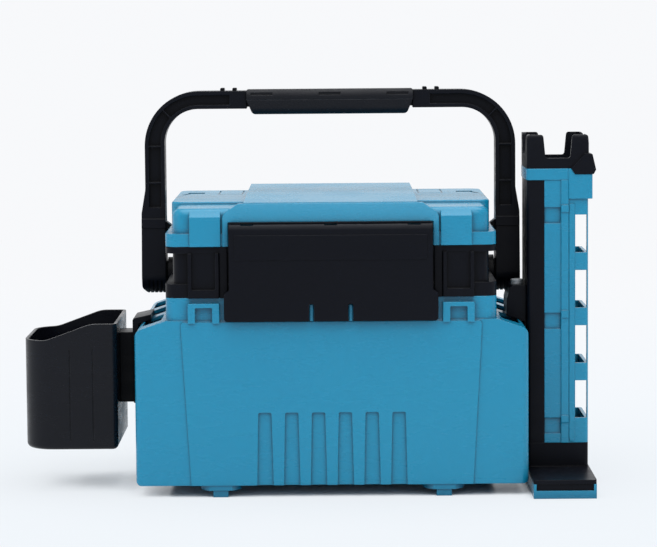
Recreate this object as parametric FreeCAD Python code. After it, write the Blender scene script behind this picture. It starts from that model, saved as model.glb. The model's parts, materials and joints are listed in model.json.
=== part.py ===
import FreeCAD
import Part
import math
import os

from FreeCAD import Vector

# A fishing seat box: a moulded tub with side wings, a collar that carries the tray, the
# hinged lid that is sat on, one wide front latch, a fold-down carrying handle, a drink
# holder hooked on the left wing and a rod stand on the right wing.
# X is to the right, Y is to the back, Z is up, and all sizes are in millimetres. While the
# pieces are drawn, X = 0 is the middle of the box, Y = 0 is the plane of the handle pivots
# and the ground is a little below Z = 0. They are shifted at the end, so that the origin
# of the finished part is on the ground under the middle of its outer box.

# Tub
box_width = 313.0
front_reach = 116.5
back_reach = 101.0
foot_height = 7.0
wall = 3.0
wing_width = 25.0
rim_setback = 2.5
rim_top = 157.0
wing_root_z = 138.9
wing_drop = 8.3
panel_proud = 1.2
panel_shoulder = 12.0
panel_taper = 7.2
tub_corner = 6.0
base_corner = 4.0
wing_corner = 8.0
rim_corner = 10.0
panel_corner = 3.0
panel_top_drop = 1.0
cavity_corner = 8.0
cavity_clear = 0.5
post_radius = 4.0
post_height = 30.0
post_inset = 7.0
post_offset = 30.0

# Flutes pressed into the lower front and back of the tub
flute_count = 6
flute_pitch = 21.3
flute_top_width = 10.4
flute_bottom_width = 13.0
flute_height = 58.3
flute_depth = 2.2
flute_round = 1.5

# Feet under the tub
foot_spread = 178.0
foot_width = 12.0
foot_length = 24.0
foot_inset = 2.0
foot_drop = 2.6
foot_dish_radius = 16.5
foot_dish_drop = 4.2
foot_dish_back = 1.0

# Accessory slots in the wing shelves
slot_count = 3
slot_first = 46.5
slot_pitch = 66.0
slot_length = 46.0
slot_inner = 4.5
slot_width = 15.0
slot_corner = 3.0

# Raised brackets and latch guides on the tub front
bracket_spread = 201.8
bracket_width = 25.0
bracket_height = 16.0
bracket_drop = 20.0
bracket_leg = 5.7
bracket_proud = 2.5
bracket_bar = 3.5
bracket_round = 0.8
bracket_foot_round = 0.6
guide_spread = 31.0
guide_width = 2.4
guide_height = 13.0
guide_reach = 5.6

# Collar
collar_height = 40.5
collar_inset = 6.1
flange_low = 11.0
flange_high = 5.0
ledge_width = 6.4
ledge_thick = 3.0
column_width = 24.4
column_proud = 3.2
column_frame = 2.8
strip_spread = 170.0
strip_width = 6.0
catch_inner = 30.0
catch_outer = 60.0
catch_reach = 4.0
catch_height = 4.0
catch_drop = 3.0
collar_lip = 6.0
collar_front_inset = 2.0
collar_corner = 9.0
inner_corner = 6.0
head_flange_in = 0.5
head_flange_front = 0.5
spigot_gap = 0.4
spigot_thick = 2.0
recess_low = 6.5
recess_round = 1.0
strip_proud = 1.5
ear_sink = 2.0
post_room = 0.4
head_room = 0.3

# Tray in the collar
tray_gap = 0.6
tray_depth = 42.0
tray_wall = 2.0
tray_corner = 6.0
tray_screw_room = 1.0
divider_count = 2
divider_thick = 1.6
divider_drop = 4.0
divider_gap = 0.2
divider_corner = 4.0

# Lid
lid_gap = 0.3
lid_flange_height = 10.2
lid_flange_out = 0.6
lid_flange_in = 0.5
lid_corner = 10.0
lid_corner_least = 2.0
lid_front_top = 227.6
lid_top = 229.6
seat_top = 235.0
seat_front_top = 232.1
seat_flat_from_front = 63.0
seat_front_lean = 2.0
seat_side_lean = 1.6
lid_edge_round = 6.0
upper_edge_round = 1.5
panel_line_width = 1.2
panel_line_depth = 0.8
panel_line_inner = 73.5
panel_line_outer = 94.5
panel_line_front = 32.0
panel_line_back = 80.0
slot_a_inset = 12.0
slot_a_half = 7.0
slot_a_front = 44.0
slot_a_back = 56.0
slot_a_round = 1.5
slot_b_inset = 3.0
slot_b_width = 5.0
slot_b_lean = 3.0
slot_b_front = 26.0
slot_b_back = 43.0
slot_b_round = 1.0
slot_sink = 6.0
lid_wall = 3.0
lid_step_from_front = 52.0
lid_upper_out = 3.4
seat_width = 139.0
block_width = 171.0
block_top_width = 143.0
block_shoulder = 223.0
block_top = 231.4
block_out = 4.0
block_lean = 4.8
block_gap = 1.2
block_round = 0.8
cheek_gap = 0.8
tab_spread = 198.6
tab_proud = 4.6
tab_shoulder = 221.2
tab_top = 227.3
tab_back = 4.0
panel_drop = 9.0
panel_thick = 2.5
panel_gap = 0.4
panel_corner_round = 6.5
panel_lip_inset = 6.0
panel_lip_thick = 2.0
panel_lip_drop = 4.0
panel_lip_back = 8.0
lid_rib_thick = 2.0
lid_rib_columns = (-56.0, -20.0, 20.0, 56.0)
lid_rib_rows = (-70.0, -20.0, 30.0)
lid_screw_front = 17.0
lid_screw_back = 26.0
lid_screw_depth = 4.0
lid_screw_inset = 21.4
hinge_back = 88.0
hinge_z = 205.0
hinge_pin_radius = 2.5
knuckle_radius = 7.0
knuckle_width = 24.0
ear_width = 8.0
hinge_spread = 144.0
side_gap = 0.4
running_gap = 0.05
seal_width = 3.0
seal_depth = 2.0
seal_out = 4.5
seal_front = 4.0
seal_back = 10.0
seal_corner = 6.0
ear_clearance_extra = 0.7

# Latch
latch_width = 160.8
latch_foot_width = 169.2
latch_foot_height = 22.0
latch_bottom = 138.7
latch_pin_out = 7.5
latch_pin_z = 210.6
latch_barrel_radius = 5.2
latch_pin_radius = 1.5
latch_thick = 3.0
latch_round = 0.9
latch_slot_height = 14.0
latch_slot_width = 4.2
latch_ear_width = 9.0
latch_ear_radius = 2.8
latch_skin = 2.1
latch_ear_spread = 132.0
latch_pin_end = 3.0
latch_corner = 2.0
latch_low_corner = 3.0
latch_shoulder = 3.0
latch_side_gap = 1.8
latch_hook_gap = 0.6
latch_hook_reach = 3.0
latch_hook_height = 6.0
latch_slot_run = 5.0
latch_slot_round = 0.9

# Handle
pivot_z = 167.0
pivot_radius = 4.0
boss_radius = 13.0
boss_length = 9.7
washer_thick = 1.1
arm_side_gap = 0.3
arm_width = 16.4
arm_flare = 3.4
arm_depth = 22.0
arm_foot_radius = 16.5
pin_head_radius = 4.8
pin_end_in = 7.7
pin_flange_radius = 6.5
pin_flange_in = 9.2
pin_flange_thick = 1.2
pin_head_thick = 2.0
cap_radius = 9.0
cap_length = 3.4
cap_sunk = 1.8
cap_wall = 2.0
cap_face = 2.2
cap_bore_depth = 9.6
washer_radius = 10.0
handle_top = 317.6
bar_height = 14.6
bend_outer = 45.0
bend_inner = 28.0
pocket_edge = 3.2
pocket_depth = 4.0
arm_rib = 1.2
arm_taper_height = 45.0
arm_flare_height = 50.0
arm_flare_run = 20.0
arm_flare_round = 8.0
arm_foot_round = 5.0
arm_foot_corner = 4.5
arm_toe_round = 2.0
arm_bend_less = 0.5
pocket_low = 5.0
pocket_end = 14.0
arm_rib_drops = (68.0, 38.0)
bend_rib_angle = 45.0
ridge_proud = 1.0
ridge_low = 38.0
ridge_high = 45.6
lug_inner = 78.5
lug_outer = 88.5
lug_width = 3.5
lug_height = 2.4
lug_depth = 14.0
lug_round = 0.8
stop_high = 44.0
stop_low = 32.0
stop_out = 4.3
stop_slope = 4.0
stop_depth = 12.0
stop_round = 0.8
groove_count = 4
groove_first = 3.0
groove_pitch = 3.4
groove_width = 1.1
groove_depth = 0.8
groove_drop = 5.0
grip_length = 137.0
grip_height = 20.4
grip_depth = 28.0
grip_core_depth = 17.0
grip_core_height = 11.6
grip_proud = 1.0
grip_round = 6.0
grip_end_run = 5.0
grip_end_round = 4.0
grip_top_round = 1.0
grip_slot_spots = (-56.0, 0.0, 56.0)
grip_slot_half = 9.0
grip_slot_depth = 1.5
grip_slot_low = 4.6
grip_slot_high = 2.4
grip_screw_spots = (-40.0, 40.0)
grip_screw_sink = 0.2
grip_head_room = 0.2

# Hooked bracket of the drink holder, and the holder
hook_middle = 37.0
hook_width = 44.0
hook_plate = 4.7
hook_low = 66.0
plate_gap = 0.3
hook_cover = 4.4
hook_round = 2.0
hook_edge_round = 1.0
hook_inset = 4.5
hook_shelf_reach = 8.0
hook_leg_thick = 3.0
hook_leg_width = 10.0
hook_leg_inset = 1.0
hook_leg_drop = 7.0
hook_toe_reach = 6.0
hook_toe_low = 2.4
hook_toe_gap = 0.8
hook_leg_root = 2.0
rail_web = 10.0
rail_head = 22.0
rail_thick = 3.5
rail_low = 70.0
rail_high = 120.0
slide_wall = 3.7
slide_gap = 0.3
slide_top_gap = 0.2
slide_cap = 3.0
cup_width = 75.5
cup_front_reach = 50.0
cup_back_reach = 61.0
cup_bottom = 32.0
cup_low_rim = 120.5
cup_high_rim = 133.8
cup_wall = 2.4
cup_outer_corner = 24.0
cup_inner_corner = 5.0
cup_line_count = 3
cup_line_first = 18.4
cup_line_pitch = 18.5
cup_line_width = 0.9
cup_line_depth = 0.4
cup_line_low = 7.0
cup_floor_round = 4.0
cup_rim_left = 18.0
cup_rim_right = 21.0
cup_rim_round = 25.0
cup_screw_inset = 8.0
cup_screw_reach = 2.4

# Rod stand
tower_gap = 2.0
tower_width = 49.5
tower_depth = 60.0
tower_wall = 2.6
tower_corner = 3.0
tower_inner_corner = 1.5
spine_width = 14.0
spine_groove_width = 3.0
spine_groove_depth = 0.8
spine_groove_front = 14.0
spine_groove_end = 6.0
foot_top = 31.9
shell_top = 230.4
collar_top = 254.8
collar_left_low = 245.6
collar_out = 3.4
collar_grow = 0.6
collar_wide_from_right = 17.0
collar_wide_grow = 2.0
window_width = 9.4
window_post = 1.2
window_post_depth = 6.0
window_height = 30.6
window_pitch = 44.9
window_first = 52.2
window_count = 4
clip_size = 13.0
clip_first = 39.4
clip_pitch = 85.6
clip_count = 3
clip_recess = 2.0
strip_first = 13.5
strip_last = 19.5
strip_rise = 0.9
tab_rise = 1.8
tab_below = 4.0
tab_above = 2.0
crown_top = 282.0
crown_notch = 263.2
prong_width = 14.4
prong_depth = 15.0
prong_round = 2.2
prong_lean = 0.9
prong_shoulder = 12.0
flap_drop = 4.6
flap_in = 11.0
flap_out = 4.0
flap_lip_out = 6.0
flap_lip_drop = 1.0
flap_top_out = 3.0
flap_high = 12.0
flap_root = 14.0
flap_round = 0.8
flap_top_round = 1.5
flap_grow = 2.6
crown_reach = 20.0
prong_outline_width = 10.0
crown_lip_left = 0.4
crown_lip_right = 0.6
base_reach = 66.0
base_top = 12.4
base_tray_floor = 3.8
base_tray_side = 9.0
base_tray_wall = 2.2
foot_plate_left = 0.4
foot_plate_right = 0.7
foot_plate_round = 2.0
foot_screw_side = 14.0
foot_screw_end = 12.0
foot_screw_cover = 1.5
foot_screw_sink = 0.6
foot_screw_room = 0.2
pad_gap = 0.3
pad_thick = 3.0
key_head = 20.0
key_web = 8.0
key_low = 126.0
key_high = 146.0
key_lift = 55.0
key_gap = 0.3
key_plate_gap = 0.6
key_head_thick = 3.0
key_head_gap = 1.0
key_end_gap = 3.0
key_top_gap = 0.2
riser_high = 14.0
riser_inset = 8.5
riser_top_inset = 3.0
riser_round = 4.0
riser_edge_round = 1.0
riser_slope = 12.0
riser_short = 4.0
bracket_skirt = 30.0
knob_radius = 5.0
knob_height = 3.4
knob_shank = 2.5
knob_length = 12.0
knob_in = 8.8
knob_forward = 7.0

# Screws
screw_radius = 1.6
screw_head_radius = 3.2
screw_head = 1.8
screw_length = 10.0

# How far apart two places may be and still count as one
tiny = 0.001

# Places worked out from the sizes above
half = box_width / 2
tub_front = -front_reach
tub_back = back_reach
rim_half = half - wing_width
panel_top_half = rim_half - panel_shoulder
panel_bottom_half = panel_top_half - panel_taper
rim_front = tub_front + rim_setback
rim_back = tub_back - rim_setback
wing_slope = wing_drop / (half - rim_half)
ground = -foot_drop
floor_z = foot_height + wall
cavity_half = rim_half - wall - cavity_clear
cavity_front = rim_front + wall
cavity_back = rim_back - wall
collar_top_z = rim_top + collar_height
collar_half = rim_half - collar_inset
arm_inner = collar_half + boss_length + arm_side_gap + washer_thick
arm_outer = arm_inner + arm_width
arm_face = arm_outer + arm_flare
collar_front = rim_front + collar_front_inset
collar_back = rim_back - collar_inset
inner_half = collar_half - wall
inner_front = collar_front + wall
inner_back = collar_back - wall
pit_half = inner_half - ledge_width
pit_front = inner_front + ledge_width
pit_back = inner_back - ledge_width
ledge_z = rim_top + ledge_thick
lid_z = collar_top_z + lid_gap
lid_flange_top = lid_z + lid_flange_height
lid_half = collar_half
lid_front = collar_front
latch_pin_y = lid_front - latch_pin_out
tower_left = half + tower_gap
tower_right = tower_left + tower_width
tower_front = -hook_middle - tower_depth / 2
tower_back = -hook_middle + tower_depth / 2
cup_right = -(half + plate_gap + hook_plate + 2 * rail_thick + slide_gap + slide_wall)
cup_left = cup_right - cup_width


def point(plane, u, v, w):
    """A point of a drawing plane: u and v in the plane, w along its normal."""
    if plane == "XZ":
        return Vector(u, w, v)
    if plane == "YZ":
        return Vector(w, u, v)
    return Vector(u, v, w)


def outline(plane, level, corners):
    """A closed wire through corners (u, v, radius), where radius 0 is a sharp corner."""
    spots = [Vector(u, v, 0) for u, v, radius in corners]
    bends = []
    for i, (u, v, radius) in enumerate(corners):
        here = spots[i]
        back = spots[i - 1] - here
        on = spots[(i + 1) % len(spots)] - here
        back.normalize()
        on.normalize()
        if radius == 0:
            bends.append((here, None, here))
            continue
        half_angle = back.getAngle(on) / 2
        run = radius / math.tan(half_angle)
        inward = back + on
        inward.normalize()
        middle = here + inward * (radius / math.sin(half_angle) - radius)
        bends.append((here + back * run, middle, here + on * run))
    edges = []
    for i, (start, middle, end) in enumerate(bends):
        first = point(plane, start.x, start.y, level)
        last = point(plane, end.x, end.y, level)
        if middle is not None:
            mid = point(plane, middle.x, middle.y, level)
            edges.append(Part.Arc(first, mid, last).toShape())
        after = bends[(i + 1) % len(bends)][0]
        onward = point(plane, after.x, after.y, level)
        if (onward - last).Length > 1e-6:
            edges.append(Part.LineSegment(last, onward).toShape())
    return Part.Wire(edges)


def plate(plane, corners, low, high):
    """The outline pulled along the plane's normal, from low to high."""
    normal = point(plane, 0, 0, high - low)
    return Part.Face(outline(plane, low, corners)).extrude(normal)


def rect(u0, u1, v0, v1, radius=0.0):
    return [(u0, v0, radius), (u1, v0, radius), (u1, v1, radius), (u0, v1, radius)]


def soften_top(shape, radius):
    """The same plate with its highest edges rounded."""
    top = shape.BoundBox.ZMax
    edges = [edge for edge in shape.Edges if edge.BoundBox.ZMin > top - tiny]
    return shape.makeFillet(radius, edges)


def block(x0, x1, y0, y1, z0, z1):
    return Part.makeBox(x1 - x0, y1 - y0, z1 - z0, Vector(x0, y0, z0))


def rod_x(x0, x1, y, z, radius):
    return Part.makeCylinder(radius, x1 - x0, Vector(x0, y, z), Vector(1, 0, 0))


def rod_z(x, y, z0, z1, radius):
    return Part.makeCylinder(radius, z1 - z0, Vector(x, y, z0), Vector(0, 0, 1))


def join(pieces):
    whole = pieces[0].fuse(pieces[1:]) if len(pieces) > 1 else pieces[0]
    return whole.removeSplitter()


def flip(shape):
    """The same piece on the other side of the box."""
    return shape.mirror(Vector(0, 0, 0), Vector(1, 0, 0))


def pair(shape):
    return [shape, flip(shape)]


def ring(half_x, front, back, corner, inner_x, inner_f, inner_b, low, high):
    """A rounded frame that lies flat, with a rounded hole."""
    inside = max(corner - (half_x - inner_x), 1.0)
    outer = plate("XY", rect(-half_x, half_x, front, back, corner), low, high)
    hole = rect(-inner_x, inner_x, inner_f, inner_b, inside)
    return outer.cut(plate("XY", hole, low - 1, high + 1))


def screw_down(x, y, z):
    """A pan-head screw driven downwards, with the underside of its head at z."""
    head = rod_z(x, y, z, z + screw_head, screw_head_radius)
    return head.fuse(rod_z(x, y, z - screw_length, z, screw_radius)).removeSplitter()


def screw_hole(x, y, z):
    return rod_z(x, y, z - screw_length, z + tiny, screw_radius)


def shelf_z(x):
    """The height of the wing shelf's top at a distance x from the middle."""
    return wing_root_z - (x - rim_half) * wing_slope


def collar_screw_spots():
    x = cavity_half - post_inset
    y_front = cavity_front + post_inset
    y_back = cavity_back - post_inset
    spots = []
    for side in (-1, 1):
        spots.append((side * x, y_front))
        spots.append((side * x, y_back))
        spots.append((side * x, (y_front + y_back) / 2 + post_offset))
    return spots


def case_tub():
    top_outer = shelf_z(half)
    body = plate(
        "XZ",
        [
            (-half, foot_height, base_corner),
            (half, foot_height, base_corner),
            (half, top_outer, wing_corner),
            (rim_half, wing_root_z, 0),
            (-rim_half, wing_root_z, 0),
            (-half, top_outer, wing_corner),
        ],
        tub_front + panel_proud,
        tub_back - panel_proud,
    )
    low, high = foot_height - 1, rim_top + 1
    around = rect(-half, half, tub_front + panel_proud, tub_back - panel_proud, tub_corner)
    body = body.common(plate("XY", around, low, high))
    rim = plate("XY", rect(-rim_half, rim_half, rim_front, rim_back, rim_corner), floor_z, rim_top)
    pieces = [body, rim]
    bottom, top = panel_bottom_half, panel_top_half
    face = [
        (-bottom, foot_height, 0),
        (bottom, foot_height, 0),
        (top, wing_root_z - panel_top_drop, panel_corner),
        (-top, wing_root_z - panel_top_drop, panel_corner),
    ]
    pieces.append(plate("XZ", face, tub_front, tub_front + 2 * wall))
    pieces.append(plate("XZ", face, tub_back - 2 * wall, tub_back))
    for side in (-1, 1):
        middle = side * foot_spread / 2
        for y0 in (tub_front + foot_inset, tub_back - foot_inset - foot_length):
            pieces.append(
                block(middle - foot_width / 2, middle + foot_width / 2, y0, y0 + foot_length, ground, floor_z)
            )
            y = y0 + foot_length / 2 + foot_dish_back
            dish = rod_z(middle, y, foot_height - foot_dish_drop, floor_z, foot_dish_radius)
            pieces.append(dish.common(block(-half, half, tub_front + 1, tub_back - 1, ground, floor_z)))
        pieces.append(front_bracket(side))
        x = side * guide_spread / 2
        z = wing_root_z
        w = guide_width / 2
        pieces.append(block(x - w, x + w, tub_front - guide_reach, rim_front + 1, z, z + guide_height))
    tub = join(pieces)
    cuts = [
        plate(
            "XY",
            rect(-cavity_half, cavity_half, cavity_front, cavity_back, cavity_corner),
            floor_z,
            rim_top + 1,
        )
    ]
    cuts += pair(wing_channel())
    for i in range(slot_count):
        y = tub_front + slot_first + i * slot_pitch
        x0 = rim_half + slot_inner
        window = rect(x0, x0 + slot_width, y - slot_length / 2, y + slot_length / 2, slot_corner)
        cuts += pair(plate("XY", window, wing_root_z - 20, wing_root_z + 10))
    for i in range(flute_count):
        x = (i - (flute_count - 1) / 2) * flute_pitch
        cuts.append(flute(x, tub_front - 1, tub_front + flute_depth))
        cuts.append(flute(x, tub_back - flute_depth, tub_back + 1))
    tub = tub.cut(cuts)
    bosses = []
    for x, y in collar_screw_spots():
        outer = math.copysign(cavity_half + 1, x)
        x0, x1 = sorted((x, outer))
        low = rim_top - post_height
        post = block(x0, x1, y - post_radius, y + post_radius, low, rim_top)
        bosses.append(post.fuse(rod_z(x, y, low, rim_top, post_radius)))
    tub = join([tub] + bosses)
    return tub.cut([screw_hole(x, y, ledge_z) for x, y in collar_screw_spots()])


def front_bracket(side):
    """The raised frame below each column of the collar, open at its bottom."""
    x = side * bracket_spread / 2
    top = rim_top - bracket_drop + bracket_height
    low = rim_top - bracket_drop
    w = bracket_width / 2
    inner = w - bracket_leg
    shape = [
        (x - w, low, bracket_foot_round),
        (x - inner, low, bracket_foot_round),
        (x - inner, top - bracket_bar, bracket_round),
        (x + inner, top - bracket_bar, bracket_round),
        (x + inner, low, bracket_foot_round),
        (x + w, low, bracket_foot_round),
        (x + w, top, bracket_round),
        (x - w, top, bracket_round),
    ]
    return plate("XZ", shape, tub_front - bracket_proud, rim_front + 1)


def wing_channel():
    """The hollow under the right wing's shelf, open at the bottom."""
    outer = half - wall
    return plate(
        "XZ",
        [
            (rim_half, foot_height - 1, 0),
            (outer, foot_height - 1, 0),
            (outer, shelf_z(outer) - wall, wing_corner / 2),
            (rim_half, wing_root_z - wall, 0),
        ],
        tub_front + panel_proud + wall,
        tub_back - panel_proud - wall,
    )


def flute(x, y0, y1):
    top = foot_height + flute_height
    a = flute_bottom_width / 2
    b = flute_top_width / 2
    low = foot_height - 1
    shape = [(x - a, low, 0), (x + a, low, 0), (x + b, top, flute_round), (x - b, top, flute_round)]
    return plate("XZ", shape, y0, y1)


def collar_frame():
    low, high = rim_top, collar_top_z
    inner = (inner_half, inner_front, inner_back)
    g = spigot_gap
    t = spigot_gap + spigot_thick
    pieces = [
        ring(collar_half, collar_front, collar_back, collar_corner, *inner, low, high),
        ring(rim_half, rim_front, rim_back, rim_corner, *inner, low, low + flange_low),
        ring(
            rim_half - head_flange_in, rim_front - head_flange_front, rim_back, rim_corner,
            *inner, high - flange_high, high,
        ),
        ring(
            inner_half + 1, inner_front - 1, inner_back + 1, inner_corner,
            pit_half, pit_front, pit_back, low, ledge_z,
        ),
        ring(
            cavity_half - g, cavity_front + g, cavity_back - g, cavity_corner - g,
            cavity_half - t, cavity_front + t, cavity_back - t, low - collar_lip, low + 1,
        ),
    ]
    for side in (-1, 1):
        x = side * bracket_spread / 2
        w = column_width / 2
        front = rim_front - column_proud
        column = block(x - w, x + w, front, collar_front + 1, low, high - flange_high)
        w_in = w - column_frame
        recess = rect(x - w_in, x + w_in, low + recess_low, high - flange_high + 1, recess_round)
        pieces.append(column.cut(plate("XZ", recess, front - 1, front + column_proud)))
        strip = side * strip_spread / 2
        s = strip_width / 2
        pieces.append(block(strip - s, strip + s, rim_front - strip_proud, collar_front + 1, low, high))
        x0, x1 = sorted((side * catch_inner, side * catch_outer))
        z = low + catch_drop
        pieces.append(block(x0, x1, rim_front - catch_reach, rim_front + 1, z, z + catch_height))
        boss = rod_x(collar_half - 1, collar_half + boss_length, 0, pivot_z, boss_radius)
        boss = boss.common(block(0, half, -boss_radius, boss_radius, low, high))
        pieces.append(boss if side > 0 else flip(boss))
        for edge in (-1, 1):
            pieces.append(hinge_ear(side * hinge_spread / 2, edge))
    frame = join(pieces)
    cuts = [rod_x(-half, half, 0, pivot_z, pivot_radius)]
    cuts.append(rod_x(-half, half, hinge_back, hinge_z, hinge_pin_radius))
    for x, y in collar_screw_spots():
        outer = math.copysign(cavity_half + 1, x)
        r = post_radius + post_room
        x0, x1 = min(x, outer) - r, max(x, outer) + r
        cuts.append(block(x0, x1, y - r, y + r, low - collar_lip - 1, low))
        cuts.append(screw_hole(x, y, ledge_z))
        cuts.append(rod_z(x, y, ledge_z, low + flange_low + 1, screw_head_radius + head_room))
    return frame.cut(cuts)


def hinge_ear(middle, edge):
    """One of the two ears that hold a hinge pin, on the collar's back flange."""
    inner = knuckle_width / 2 + side_gap
    x0, x1 = sorted((middle + edge * inner, middle + edge * (inner + ear_width)))
    round_part = rod_x(x0, x1, hinge_back, hinge_z, knuckle_radius)
    r = knuckle_radius
    return round_part.fuse(block(x0, x1, hinge_back - r, hinge_back + r, collar_top_z - ear_sink, hinge_z))


def hinge_pins():
    reach = knuckle_width / 2 + side_gap + ear_width
    pins = []
    for side in (-1, 1):
        x = side * hinge_spread / 2
        pins.append(rod_x(x - reach, x + reach, hinge_back, hinge_z, hinge_pin_radius))
    return pins


def collar_screws():
    return [screw_down(x, y, ledge_z) for x, y in collar_screw_spots()]


def inner_tray():
    g = tray_gap
    bottom = ledge_z - tray_depth
    around = rect(-pit_half + g, pit_half - g, pit_front + g, pit_back - g, tray_corner)
    body = plate("XY", around, bottom, ledge_z + 1)
    lip = plate(
        "XY",
        rect(-inner_half + g, inner_half - g, inner_front + g, inner_back - g, tray_corner - 1),
        ledge_z,
        ledge_z + tray_wall,
    )
    t = g + tray_wall
    hollow = plate(
        "XY",
        rect(-pit_half + t, pit_half - t, pit_front + t, pit_back - t, tray_corner - tray_wall),
        bottom + tray_wall,
        ledge_z + tray_wall + 1,
    )
    tray = join([body, lip]).cut(hollow)
    holes = [
        rod_z(x, y, ledge_z - 1, ledge_z + tray_wall + 1, screw_head_radius + tray_screw_room)
        for x, y in collar_screw_spots()
    ]
    return tray.cut(holes)


def tray_dividers():
    g = tray_gap + tray_wall + divider_gap
    low = ledge_z - tray_depth + tray_wall
    step = 2 * pit_half / (divider_count + 1)
    plates = []
    for i in range(divider_count):
        x = -pit_half + (i + 1) * step
        shape = rect(pit_front + g, pit_back - g, low, ledge_z - divider_drop, divider_corner)
        plates.append(plate("YZ", shape, x - divider_thick / 2, x + divider_thick / 2))
    return plates


def lid_levels(inset, top_inset):
    """The stepped block of the lid, shrunk by inset at its sides and top_inset at its tops."""
    low = lid_z
    step_y = lid_front + lid_step_from_front
    front = lid_front + inset
    back = hinge_back - inset
    corner = max(lid_corner - inset, lid_corner_least)
    main = plate(
        "XY", rect(-lid_half + inset, lid_half - inset, front, back, corner), low, lid_front_top - top_inset
    )
    wide = lid_half + lid_upper_out - inset
    upper_low = lid_flange_top - 1 if inset == 0 else low
    upper = plate(
        "XY", rect(-wide, wide, step_y + inset, back, corner), upper_low, lid_top - top_inset
    )
    if inset == 0:
        main = soften_top(main, lid_edge_round)
        upper = soften_top(upper, upper_edge_round)
    return join([main, upper, lid_seat(inset, top_inset)])


def lid_seat(inset, top_inset):
    """The raised middle of the lid, which slopes down towards its front edge."""
    front = lid_front + inset
    back = hinge_back - inset
    side = seat_width / 2 - inset
    profile = [
        (front, lid_z, 0),
        (back, lid_z, 0),
        (back, seat_top - top_inset, 0),
        (front + seat_flat_from_front, seat_top - top_inset, 0),
        (front + seat_front_lean, seat_front_top - top_inset, 0),
        (front, lid_front_top - lid_edge_round - top_inset, 0),
    ]
    ends = [
        (-side, lid_z, 0),
        (side, lid_z, 0),
        (side, lid_top - top_inset, 0),
        (side - seat_side_lean, seat_top - top_inset + 1, 0),
        (seat_side_lean - side, seat_top - top_inset + 1, 0),
        (-side, lid_top - top_inset, 0),
    ]
    return plate("YZ", profile, -side, side).common(plate("XZ", ends, front, back))


def lid_slots():
    """The slots through the back corners of the lid's top, on the right side."""
    low, high = lid_top - slot_sink, lid_top + 1
    x = lid_half - slot_a_inset
    shape_a = rect(x - slot_a_half, x + slot_a_half, slot_a_front, slot_a_back, slot_a_round)
    right = lid_half - slot_b_inset + slot_b_lean
    shape_b = [
        (right - slot_b_width, slot_b_back + 1, slot_b_round),
        (right, slot_b_front + 1, slot_b_round),
        (right - slot_b_lean, slot_b_front, slot_b_round),
        (right - slot_b_width - slot_b_lean, slot_b_back, slot_b_round),
    ]
    return [plate("XY", shape, low, high) for shape in (shape_a, shape_b)]


def panel_line():
    """The outlined rectangle let into the lid's top, on the right side."""
    w = panel_line_width
    low, high = lid_top - panel_line_depth, lid_top + 1
    outer = rect(panel_line_inner, panel_line_outer, panel_line_front, panel_line_back)
    inner = rect(panel_line_inner + w, panel_line_outer - w, panel_line_front + w, panel_line_back - w)
    return plate("XY", outer, low, high).cut(plate("XY", inner, low - 1, high + 1))


def lid_shell():
    side = rim_half - lid_flange_in
    around = rect(-side, side, rim_front - lid_flange_out, hinge_back, collar_corner)
    flange = plate("XY", around, lid_z, lid_flange_top)
    pieces = [flange, lid_levels(0, 0)]
    front = lid_front - block_out
    w = block_width / 2
    housing_low = latch_pin_z + latch_barrel_radius + block_gap
    top = block_top_width / 2
    housing = [
        (front, lid_z, 0),
        (lid_front + 2 * lid_wall, lid_z, 0),
        (lid_front + 2 * lid_wall, block_top, 0),
        (front + block_lean, block_top, block_round),
        (front, housing_low, 0),
    ]
    face = [
        (-w, lid_z, 0),
        (w, lid_z, 0),
        (w, block_shoulder, lid_edge_round),
        (top, block_top + 1, 0),
        (-top, block_top + 1, 0),
        (-w, block_shoulder, lid_edge_round),
    ]
    housing = plate("YZ", housing, -w, w).common(plate("XZ", face, front - 1, lid_front + 2 * lid_wall))
    opening = latch_width / 2 + cheek_gap
    pieces.append(housing.cut(block(-opening, opening, front - 1, lid_front, lid_z - 1, housing_low)))
    for side in (-1, 1):
        x = side * tab_spread / 2
        tab = [
            (lid_front - tab_proud, lid_z, 0),
            (lid_front + lid_wall, lid_z, 0),
            (lid_front + tab_back, tab_top, 0),
            (lid_front - tab_proud, tab_shoulder, block_round),
        ]
        pieces.append(plate("YZ", tab, x - column_width / 2, x + column_width / 2))
        pieces.append(knuckle(side * hinge_spread / 2))
    for x in latch_ear_spots():
        pieces.append(latch_ear(x))
    lid = join(pieces)
    cuts = [lid_levels(lid_wall, lid_wall)]
    for mate in lid_slots() + [panel_line()]:
        cuts += pair(mate)
    for side in (-1, 1):
        for edge in (-1, 1):
            cuts.append(ear_clearance(side * hinge_spread / 2, edge))
    cuts.append(rod_x(-half, half, hinge_back, hinge_z, hinge_pin_radius + running_gap))
    cuts.append(rod_x(-half, half, latch_pin_y, latch_pin_z, latch_pin_radius))
    cuts.append(seal_ring(lid_z - tiny))
    lid = lid.cut(cuts)
    return join([lid] + lid_ribs()).cut([screw_up_hole(x, y) for x, y in lid_screw_spots()])


def knuckle(middle):
    x0 = middle - knuckle_width / 2
    x1 = middle + knuckle_width / 2
    r = knuckle_radius
    root = block(x0, x1, hinge_back - 2 * lid_wall, hinge_back, hinge_z - r, hinge_z + r)
    return root.fuse(rod_x(x0, x1, hinge_back, hinge_z, r))


def ear_clearance(middle, edge):
    """The room that a collar ear needs in the lid at every angle of the lid."""
    inner = knuckle_width / 2
    x0, x1 = sorted((middle + edge * inner, middle + edge * (inner + ear_width + 2 * side_gap)))
    r = knuckle_radius + ear_clearance_extra
    round_part = rod_x(x0, x1, hinge_back, hinge_z, r)
    return round_part.fuse(block(x0, x1, hinge_back - r, hinge_back + r, lid_z - 1, hinge_z))


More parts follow.
